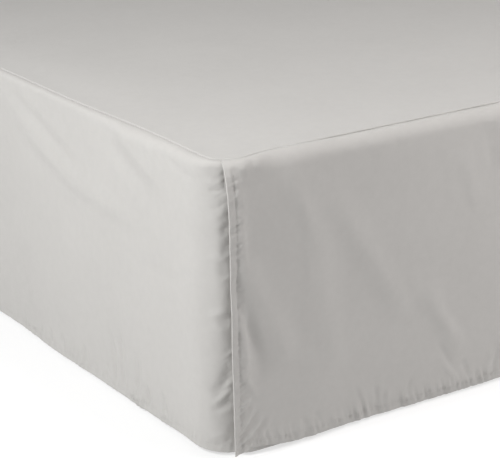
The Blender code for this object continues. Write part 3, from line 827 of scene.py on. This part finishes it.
def add_mesh(name, points, faces, uv, made_of):
    """A new smooth mesh object with outward faces, riding on the one body."""
    mesh = bpy.data.meshes.new(name)
    mesh.from_pydata(points.tolist(), [], faces)
    if uv is not None:
        layer = mesh.uv_layers.new(name="cloth")
        corner = np.empty(len(mesh.loops), dtype=np.int32)
        mesh.loops.foreach_get("vertex_index", corner)
        layer.data.foreach_set("uv", uv[corner].astype(np.float32).ravel())
    build = bmesh.new()
    build.from_mesh(mesh)
    bmesh.ops.recalc_face_normals(build, faces=build.faces)
    build.to_mesh(mesh)
    build.free()
    mesh.shade_smooth()
    mesh.materials.append(made_of)
    piece = bpy.data.objects.new(name, mesh)
    bpy.context.scene.collection.objects.link(piece)
    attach(piece, "root")
    return piece


def add_cloth(name, cloth, made_of):
    """A closed shell from the two faces of a cloth. Its back keeps fewer of the grid's points."""
    rows, width = cloth.outer.shape[:2]
    count = rows * width
    number = np.arange(count).reshape(rows, width)
    columns = list(range(width))
    steps = cloth.steps.tolist()
    few = sorted({*range(0, width, 2), width - 1})
    back_steps = [max(steps)] * width
    back = grid_faces(number + count, few, back_steps)
    faces = grid_faces(number, columns, steps) + [face[::-1] for face in back]
    rim = rim_numbers(number, columns, steps)
    shared = set(rim_numbers(number, few, back_steps))
    rim.append(rim[0])
    corners = [place for place, point in enumerate(rim) if point in shared]
    for start, finish in zip(corners[:-1], corners[1:]):
        faces.append((*rim[start:finish + 1], rim[finish] + count, rim[start] + count))
    used = np.unique(np.concatenate([np.array(face) for face in faces]))
    place = np.zeros(2 * count, dtype=int)
    place[used] = np.arange(len(used))
    place = place.tolist()
    faces = [tuple(place[number] for number in face) for face in faces]
    points = np.concatenate([cloth.outer.reshape(-1, 3), cloth.inner.reshape(-1, 3)])[used]
    uv = np.concatenate([cloth.uv.reshape(-1, 2)] * 2)[used]
    return add_mesh(name, points, faces, uv, made_of)


def other_side(cloth):
    """The same cloth on the other side of the bed."""
    flip = np.array((-1, 1, 1))
    return cloth._replace(outer=cloth.outer * flip, inner=cloth.inner * flip,
                          normal=cloth.normal * flip)


def rimmed(length, spans):
    """Places from 0 to length, spaced as the spans say, with the rim's steps at both ends."""
    inner = stations(RIM_REACH, spans, length - RIM_REACH)
    return RIM_STEPS + inner + [length - step for step in reversed(RIM_STEPS)]


def platform_plan(x, y):
    """Plan places of the platform's points, x from its middle and y from its foot edge.

    At the foot corners the grid's square rings are bent into arcs, and its rim is moved to where
    the drops' seam runs.
    """
    radius = CORNER_RADIUS - SHEET_SIDE_INSET
    from_side = SHEET_HALF - np.abs(x)
    ring = np.minimum(from_side, y)
    on_side = from_side <= y
    away = np.where(on_side, y, from_side)
    part = np.clip((radius - away) / np.maximum(radius - ring, 1e-6), 0, 1) / 2
    angle = np.where(on_side, part, 1 - part) * pi / 2
    bent = (ring < radius) & (away < radius)
    straight = np.where(on_side, radius - away, CORNER_ARC + away - radius)
    turn = np.where(bent, angle * CORNER_RADIUS, straight)
    seam, face = outline(turn)
    seam -= face * (edge_radius(turn) + SEAM_LIP + SEAM_GAP)[..., None]
    rim_x = np.where(bent, radius * (1 - np.cos(angle)), np.where(on_side, 0, away))
    rim_y = np.where(bent, radius * (1 - np.sin(angle)), np.where(on_side, away, 0))
    moved_x = seam[..., 0] - (rim_x + SHEET_SIDE_INSET)
    moved_y = seam[..., 1] - (rim_y + SHEET_FOOT_INSET)
    fade = 1 - smooth(0, 0.035, ring)
    reach = radius - ring
    plan_x = np.where(bent, np.sign(x) * (SHEET_HALF - radius + reach * np.cos(angle)), x)
    plan_y = np.where(bent, radius - reach * np.sin(angle), y)
    plan_x -= np.sign(x) * moved_x * fade
    plan_y += moved_y * fade * (1 - smooth(0, 0.080, -turn))
    return plan_x, plan_y - HALF_LENGTH + SHEET_FOOT_INSET


def platform_cloth(seed):
    """The flat sheet between the seams, a little rippled, with its rim rolled into the seams."""
    length = BED_LENGTH - HEAD_SETBACK - SHEET_FOOT_INSET
    across = rimmed(2 * SHEET_HALF, (Span(0.060, 0.0040), Span(0.480, 0.0046),
                                     Span(2 * SHEET_HALF - 0.070, 0.0160)))
    down = rimmed(length, (Span(0.060, 0.0040), Span(0.620, 0.0050),
                           Span(length - 0.020, 0.0160), Span(length - 0.01225, 0.0080)))
    x, y = np.meshgrid(np.array(across) - SHEET_HALF, down)
    from_side = SHEET_HALF - np.abs(x)
    from_hem = length - y
    ring = np.minimum(from_side, y)
    place = np.where(from_side <= y, y, from_side + 3)  # so that the foot's puckers differ
    relief = puckered(seed, PLATFORM_PUCKERS, place, ring)
    waves = 0.9 * rolling(seed + 4, 0.260, x + 0.35 * y, y) + 0.5 * rolling(seed + 5, 0.110, x, y)
    relief += 0.0014 * (waves + 0.6) * smooth(0.010, 0.080, np.minimum(ring, from_hem))
    height = CLOTH_TOP + np.maximum(relief, -0.0003) - rolled(SEAM_ROLL, ring)
    mid = np.stack([*platform_plan(x, y), height], axis=-1)
    hem = 1 - smooth(HEM_WIDTH, HEM_WIDTH + HEM_STEP, from_hem)
    return shell(mid, 1, hem, from_hem, 0.0, (x, y), np.ones(len(across), dtype=int))


def tube_faces(rings, count, closed=False):
    """The faces between rings of points, the last ring joined to the first if closed."""
    faces = []
    for ring in range(rings if closed else rings - 1):
        first = ring * count
        after = (ring + 1) % rings * count
        for number in range(count):
            onward = (number + 1) % count
            faces.append((first + number, first + onward, after + onward, after + number))
    return faces


def stitches_on(points, normal):
    """Stitches on a line of cloth points: short spindles end to end, sunk in the cloth.

    Each is its rings of points and then its two tips.
    """
    steps = np.linalg.norm(np.diff(points, axis=0), axis=1)
    length = np.concatenate([[0], np.cumsum(steps)])
    middle = (np.arange(int(length[-1] / STITCH_PITCH)) + 0.5) * STITCH_PITCH

    def at(place, values):
        return np.stack([np.interp(place, length, values[:, axis]) for axis in range(3)], axis=-1)

    up = at(middle, normal)
    centre = at(middle, points) + up * STITCH_RISE
    lay = at(middle + STITCH_HALF, points) - at(middle - STITCH_HALF, points)
    lay /= np.linalg.norm(lay, axis=-1, keepdims=True)
    side = np.cross(lay, up)
    parts = []
    for shift, size in STITCH_RINGS:
        for corner in range(STITCH_SIDES):
            angle = tau * corner / STITCH_SIDES
            out = (side * cos(angle) + up * sin(angle)) * THREAD_RADIUS * size
            parts.append(centre + lay * STITCH_HALF * shift + out)
    parts += [centre + lay * end - up * THREAD_RADIUS for end in (-STITCH_HALF, STITCH_HALF)]
    return np.stack(parts, axis=1)


def add_stitches(name, lines, made_of):
    """All the stitches of one drop, along lines given by their points and normals."""
    rings = len(STITCH_RINGS)
    behind = rings * STITCH_SIDES
    last = behind - STITCH_SIDES
    around = [(corner, (corner + 1) % STITCH_SIDES) for corner in range(STITCH_SIDES)]
    spindle = tube_faces(rings, STITCH_SIDES) + [(behind, b, a) for a, b in around]
    spindle += [(behind + 1, last + a, last + b) for a, b in around]
    points = np.concatenate([stitches_on(outer, normal) for outer, normal in lines])
    faces = [tuple(start + corner for corner in face)
             for start in range(0, points.shape[0] * points.shape[1], points.shape[1])
             for face in spindle]
    return add_mesh(name, points.reshape(-1, 3), faces, None, made_of)


def stitch_lines(cloth):
    """The hem's line of stitches and the two upright ones, as points and normals."""
    start = EDGE_STEPS.index(STITCH_LINE)
    finish = -1 - start
    low = -1 - 4 * start  # the rows are halved twice
    bend = np.argmax(cloth.uv[:, 0, 1] > UPRIGHT_TOP)
    lines = [(cloth.outer[low, start:finish + 1], cloth.normal[low, start:finish + 1])]
    for column in (start, finish):
        lines.append((cloth.outer[bend:low, column], cloth.normal[bend:low, column]))
    return lines


class Shader:
    """A material's nodes, added and joined in one call each."""

    def __init__(self, name):
        self.material = bpy.data.materials.new(name)
        self.material.use_nodes = True
        self.tree = self.material.node_tree
        self.principled = self.tree.nodes["Principled BSDF"]

    def node(self, kind, inputs=(), **settings):
        made = self.tree.nodes.new(kind)
        for key, value in settings.items():
            setattr(made, key, value)
        for key, value in dict(inputs).items():
            if isinstance(value, bpy.types.NodeSocket):
                self.tree.links.new(value, made.inputs[key])
            else:
                made.inputs[key].default_value = value
        return made

    def math(self, operation, a, b=0.0):
        return self.node("ShaderNodeMath", {0: a, 1: b}, operation=operation).outputs[0]

    def noise(self, place, scale, detail, roughness=0.5):
        return self.node("ShaderNodeTexNoise", {"Vector": place, "Scale": scale, "Detail": detail,
                                                "Roughness": roughness}).outputs[0]

    def finish(self, **inputs):
        for key, value in inputs.items():
            socket = self.principled.inputs[key.replace("_", " ")]
            if isinstance(value, bpy.types.NodeSocket):
                self.tree.links.new(value, socket)
            else:
                socket.default_value = value
        return self.material


def woven(name, colour, pitch, roughness, sheen):
    """Plain-woven cloth: threads over and under, slubs along them and a soft uneven nap."""
    shader = Shader(name)
    place = shader.node("ShaderNodeUVMap", uv_map="cloth").outputs["UV"]
    solid = shader.node("ShaderNodeTexCoord").outputs["Object"]
    parts = shader.node("ShaderNodeSeparateXYZ", {0: place})
    warp, weft = (shader.math("SINE", shader.math("MULTIPLY", parts.outputs[axis], tau / pitch))
                  for axis in (0, 1))
    threads = shader.math("MULTIPLY", warp, weft)
    slub = shader.node("ShaderNodeMapping", {"Vector": place, "Scale": (60, 1500, 1)})
    slubs = shader.noise(slub.outputs[0], 1.0, 2.0)
    nap = shader.noise(solid, 90.0, 5.0, 0.6)
    cloud = shader.noise(solid, 9.0, 3.0)
    tone = shader.math("ADD", shader.math("MULTIPLY", nap, 0.6),
                       shader.math("MULTIPLY", cloud, 0.4))
    ramp = shader.node("ShaderNodeValToRGB", {"Fac": tone})
    for stop, position, bright in zip(ramp.color_ramp.elements, (0.30, 0.70), (-MOTTLE, MOTTLE)):
        stop.position = position
        stop.color = (*(part * (1 + bright) for part in colour), 1)
    relief = shader.math("ADD", shader.math("MULTIPLY", threads, 0.5),
                         shader.math("MULTIPLY", slubs, 0.6))
    weave = shader.node("ShaderNodeBump", {"Height": relief, "Distance": WEAVE_DEPTH})
    brushed = shader.node("ShaderNodeBump", {"Height": nap, "Distance": NAP_DEPTH,
                                             "Normal": weave.outputs[0]})
    return shader.finish(Base_Color=ramp.outputs[0], Normal=brushed.outputs[0], Roughness=roughness,
                         Specular_IOR_Level=0.25, Sheen_Weight=sheen, Sheen_Roughness=0.5)


def plain(name, colour, roughness, bump_scale, bump_depth):
    """A painted or moulded finish with a fine texture."""
    shader = Shader(name)
    solid = shader.node("ShaderNodeTexCoord").outputs["Object"]
    grain = shader.noise(solid, bump_scale, 3.0)
    bump = shader.node("ShaderNodeBump", {"Height": grain, "Distance": bump_depth})
    worn = shader.noise(solid, 25.0, 4.0)
    rough = shader.node("ShaderNodeMapRange", {"Value": worn, "To Min": roughness - 0.06,
                                               "To Max": roughness + 0.08})
    return shader.finish(Base_Color=(*colour, 1), Roughness=rough.outputs[0],
                         Normal=bump.outputs[0])


def ring_points(inset, height):
    """A level ring round the box spring, this far in from its sides, with points on its runs."""
    half_x = HALF_WIDTH - BOX_SIDE_INSET - inset
    low_y = BOX_FOOT_INSET - HALF_LENGTH + inset
    high_y = HALF_LENGTH - inset
    radius = max(BASE_CORNER_RADIUS - inset, 0.004)
    corners = ((half_x - radius, low_y + radius, -90), (half_x - radius, high_y - radius, 0),
               (radius - half_x, high_y - radius, 90), (radius - half_x, low_y + radius, 180))
    ring = []
    for centre_x, centre_y, start in corners:
        for step in range(BASE_CORNER_STEPS + 1):
            angle = radians(start + 90 * step / BASE_CORNER_STEPS)
            ring.append((centre_x + radius * cos(angle), centre_y + radius * sin(angle)))
    filled = []
    for number, (x, y) in enumerate(ring):
        next_x, next_y = ring[(number + 1) % len(ring)]
        corner_ends = (number + 1) % (BASE_CORNER_STEPS + 1) == 0
        steps = BASE_RUN_STEPS if corner_ends else 1
        for part in np.arange(steps) / steps:
            filled.append((x + (next_x - x) * part, y + (next_y - y) * part, height))
    return np.array(filled)


def add_box_spring():
    """The upholstered base: taut ticking over eased edges, with piping round top and bottom."""
    ticking = woven("ticking_weave", (0.66, 0.65, 0.62), 0.0008, 0.90, 0.05)
    piping = woven("piping_tape", (0.60, 0.59, 0.56), 0.0008, 0.85, 0.05)
    height = BOX_TOP - BOX_BOTTOM
    section = [(0.300, 0.0), (0.060, 0.0), (0.014, 0.0), (0.007, 0.0012), (0.0035, 0.0045),
               (0.0026, 0.0085), (0.0030, 0.0130), (0.0018, 0.0300), (0.0006, 0.0700),
               (0.0, height / 2), (0.0006, height - 0.0700), (0.0018, height - 0.0300),
               (0.0030, height - 0.0150), (0.0030, height - 0.0105), (0.0045, height - 0.0075),
               (0.0080, height - 0.0056), (0.0140, height - 0.0050), (0.0240, height - 0.0046),
               (0.0400, height - 0.0030), (0.0600, height - 0.0012), (0.0900, height - 0.0002),
               (0.1200, height), (0.3000, height)]
    rings = [ring_points(inset, BOX_BOTTOM + up) for inset, up in section]
    count = len(rings[0])
    points = np.concatenate(rings)
    faces = tube_faces(len(rings), count)
    faces += [tuple(range(count))[::-1], tuple(range(len(points) - count, len(points)))]
    run = np.concatenate([[0], np.cumsum(np.linalg.norm(np.diff(rings[9], axis=0), axis=1))])
    rise = np.repeat([up + inset for inset, up in section], count)
    uv = np.stack([np.tile(run, len(rings)), rise], axis=-1)
    cover = add_mesh("box_spring_cover", points, faces, uv, ticking)
    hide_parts("box_spring")
    add_piping("box_spring_piping", ((0.0045, 0.0095), (0.0045, height - 0.0115)), piping)
    return cover


def add_piping(name, places, made_of):
    """Piping cords round the box spring, each given by its inset and height."""
    points, faces = [], []
    for inset, up in places:
        ring = ring_points(inset, BOX_BOTTOM + up)
        ahead = np.roll(ring, -1, axis=0) - np.roll(ring, 1, axis=0)
        out = np.stack([ahead[:, 1], -ahead[:, 0], np.zeros(len(ring))], axis=-1)
        out /= np.linalg.norm(out, axis=-1, keepdims=True)
        first = len(points) * len(ring)
        for side in range(PIPING_SIDES):
            angle = tau * side / PIPING_SIDES
            raised = np.array((0, 0, PIPING_RADIUS * sin(angle)))
            points.append(ring + out * PIPING_RADIUS * cos(angle) + raised)
        faces += [tuple(first + corner for corner in face)
                  for face in tube_faces(PIPING_SIDES, len(ring), closed=True)]
    return add_mesh(name, np.concatenate(points), faces, None, made_of)


def add_camera():
    """The photograph's camera, worked out from the skirt's seam and hem lines."""
    yaw, pitch, roll = radians(32.34), radians(19.0), radians(-1.45)
    ahead = Vector((sin(yaw) * cos(pitch), cos(yaw) * cos(pitch), -sin(pitch)))
    level = Vector((cos(yaw), -sin(yaw), 0))
    upright = level.cross(ahead)
    right = cos(roll) * level + sin(roll) * upright
    up = cos(roll) * upright - sin(roll) * level
    camera = bpy.data.objects.new("camera", bpy.data.cameras.new("camera"))
    turned = Matrix((right, up, -ahead)).transposed().to_4x4()
    turned.translation = Vector((-1.952, -2.978, 1.114))
    camera.matrix_world = turned
    camera.data.sensor_width = 36
    camera.data.lens = 139.6
    camera.data.clip_end = 100
    bpy.context.scene.collection.objects.link(camera)
    bpy.context.scene.camera = camera


def add_lamp(name, place, aim, size, colour, power):
    """A round soft lamp at a place, turned towards what it lights."""
    light = bpy.data.lights.new(name, "AREA")
    light.shape = "DISK"
    light.size = size
    light.color = colour
    light.energy = power
    lamp = bpy.data.objects.new(name, light)
    lamp.location = place
    lamp.rotation_euler = (Vector(place) - Vector(aim)).to_track_quat("Z", "Y").to_euler()
    lamp.visible_camera = False
    bpy.context.scene.collection.objects.link(lamp)


def add_light():
    """A key lamp on the left, a high lamp and a low fill at the foot, and an even studio."""
    corner = (-HALF_WIDTH, -HALF_LENGTH, 0.25)
    foot = (-0.20, -HALF_LENGTH, 0.25)
    add_lamp("key_lamp", (-2.42, -0.86, 1.75), corner, 0.8, (0.990, 0.999, 0.996), 54.5)
    add_lamp("top_lamp", (0.45, -2.00, 3.70), (0.45, -2.00, 0.0), 1.4, WARM_WHITE, 76)
    add_lamp("fill_lamp", (0.25, -1.75, 0.75), foot, 0.6, WARM_WHITE, 3.9)
    world = bpy.data.worlds.new("studio")
    bpy.context.scene.world = world
    world.use_nodes = True
    background = world.node_tree.nodes["Background"]
    background.inputs["Color"].default_value = (1, 1, 1, 1)
    background.inputs["Strength"].default_value = 0.130


def add_floor():
    """A plain pale floor, glowing a little so that it stays even all round the skirt."""
    bpy.ops.mesh.primitive_plane_add(size=60, location=(0, 0, 0))
    floor = bpy.context.object
    floor.name = "floor"
    shader = Shader("floor_paint")
    floor.data.materials.append(shader.finish(Base_Color=(0.36, 0.36, 0.36, 1), Roughness=0.9,
                                              Emission_Color=(1, 1, 1, 1), Emission_Strength=0.62))


def add_drops():
    """The three hanging drops and their stitches."""
    skirt_cloth = woven("brushed_microfibre", (0.475, 0.462, 0.446), 0.00045, 0.80, 0.10)
    thread = plain("thread", (0.50, 0.49, 0.475), 0.60, 900, 0.00005)
    left = side_cloth(100, LEFT_FOLDS, LEFT_CREASES, LEFT_RISES)
    right = other_side(side_cloth(200, RIGHT_FOLDS, RIGHT_CREASES, RIGHT_RISES))
    foot = foot_cloth(300, FOOT_FOLDS, FOOT_CREASES, FOOT_RISES)
    side_flat = (SIDE_LENGTH - SIDE_START, float(left.uv[-1, -1, 1]))
    foot_middle = foot.uv.shape[1] // 2
    foot_flat = (BED_WIDTH - 2 * SPLIT_PLACE, float(foot.uv[-1, foot_middle, 1]))
    drops = (("left_drop", left, "side_drop_left", side_flat),
             ("right_drop", right, "side_drop_right", side_flat),
             ("foot_drop", foot, "foot_drop", foot_flat))
    for name, cloth, node, flat in drops:
        piece = add_cloth(name + "_cloth", cloth, skirt_cloth)
        stitches = add_stitches(name + "_stitches", stitch_lines(cloth), thread)
        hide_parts(node)


def add_platform():
    """The flat sheet that lies on the box spring."""
    platform_sheet = woven("platform_microfibre", (0.480, 0.470, 0.455), 0.00045, 0.82, 0.10)
    cloth = platform_cloth(400)
    sheet = add_cloth("platform_sheet", cloth, platform_sheet)
    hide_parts("platform")


def coat_frame():
    """Powder coat on the steel frame and plastic on its glides."""
    steel = plain("powder_coat", (0.045, 0.045, 0.048), 0.48, 700, 0.00010)
    plastic = plain("moulded_plastic", (0.030, 0.030, 0.032), 0.55, 500, 0.00005)
    for node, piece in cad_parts.items():
        made_of = plastic if node.startswith("glide") else steel
        if node.startswith(("side_rail", "cross_rail", "leg", "glide")):
            piece.data.materials.clear()
            piece.data.materials.append(made_of)


def main():
    cover = add_box_spring()
    add_drops()
    add_platform()
    coat_frame()
    add_camera()
    add_light()
    add_floor()
    bpy.context.scene.view_settings.view_transform = "Standard"


main()
